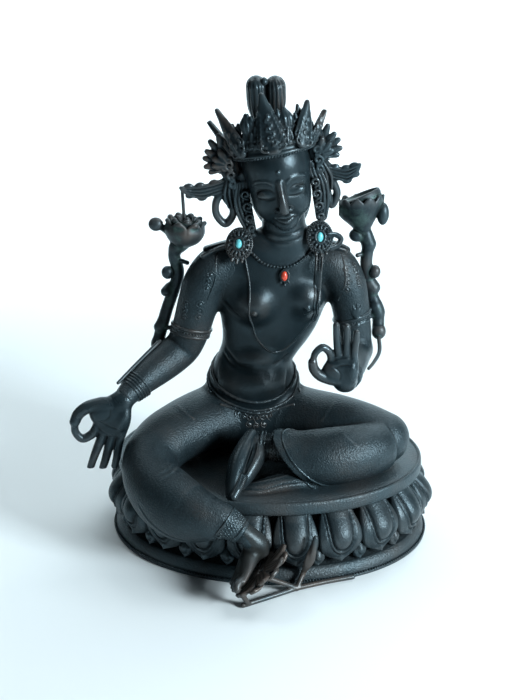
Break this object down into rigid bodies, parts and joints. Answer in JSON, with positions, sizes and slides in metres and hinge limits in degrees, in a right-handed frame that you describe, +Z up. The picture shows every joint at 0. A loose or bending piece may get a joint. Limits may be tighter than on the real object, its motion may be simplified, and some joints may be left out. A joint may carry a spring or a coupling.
{
  "type": "seated deity statue on lotus throne",
  "caption": "Seated goddess figure in dark cast metal on an oval lotus plinth, with crown, lotus sprays, set stones and a small lotus under the lowered foot.",
  "frame": {"origin": "middle of the plinth's flat underside", "axes": "+Z up, -Y to the front, +X to the right of someone who faces the figure"},
  "size_m": [0.3229, 0.2765, 0.4123],
  "materials": {
    "throne_bronze": "dark blue-grey patina on cast copper alloy, satin",
    "figure_bronze": "dark patina on cast copper alloy, satin, rubbed brown on the high places",
    "crown_bronze": "dark patina on cast copper alloy, satin",
    "green_bronze": "dark patina with a dull green bloom",
    "brown_bronze": "worn brown copper alloy, satin",
    "turquoise": "polished turquoise stone",
    "coral": "polished coral"
  },
  "bodies": {
    "root": {"lotus_throne": "throne_bronze", "tara_figure": "figure_bronze", "crown": "crown_bronze", "right_lotus_spray": "green_bronze", "left_lotus_spray": "green_bronze", "foot_lotus": "brown_bronze", "turquoise_right": "turquoise", "turquoise_left": "turquoise", "coral": "coral"}
  },
  "joints": []
}
